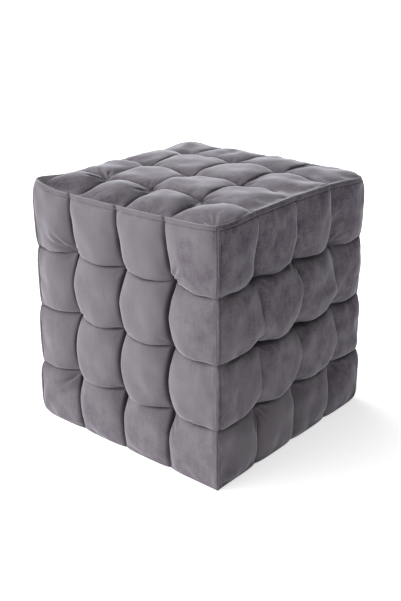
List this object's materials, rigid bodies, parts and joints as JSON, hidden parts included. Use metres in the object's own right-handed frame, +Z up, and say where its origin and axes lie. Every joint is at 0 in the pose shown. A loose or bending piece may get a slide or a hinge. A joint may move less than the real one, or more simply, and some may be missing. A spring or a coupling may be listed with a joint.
{
  "type": "tufted cube pouf stool",
  "caption": "Cube pouf stool in grey velvet, tufted into square puffs on its top and sides, resting flat on a plain base cloth.",
  "frame": {"origin": "middle of the underside, on the surface that the stool stands on", "axes": "+Z up; -Y out of the front panel, +X out of the right panel"},
  "size_m": [0.4, 0.4, 0.4201],
  "materials": {
    "velvet": "short-pile velvet, matt with a soft sheen",
    "base_cloth": "matt black woven cloth"
  },
  "bodies": {
    "root": {"front_panel": "velvet", "right_panel": "velvet", "back_panel": "velvet", "left_panel": "velvet", "top_panel": "velvet", "base_cloth": "base_cloth"}
  },
  "joints": []
}
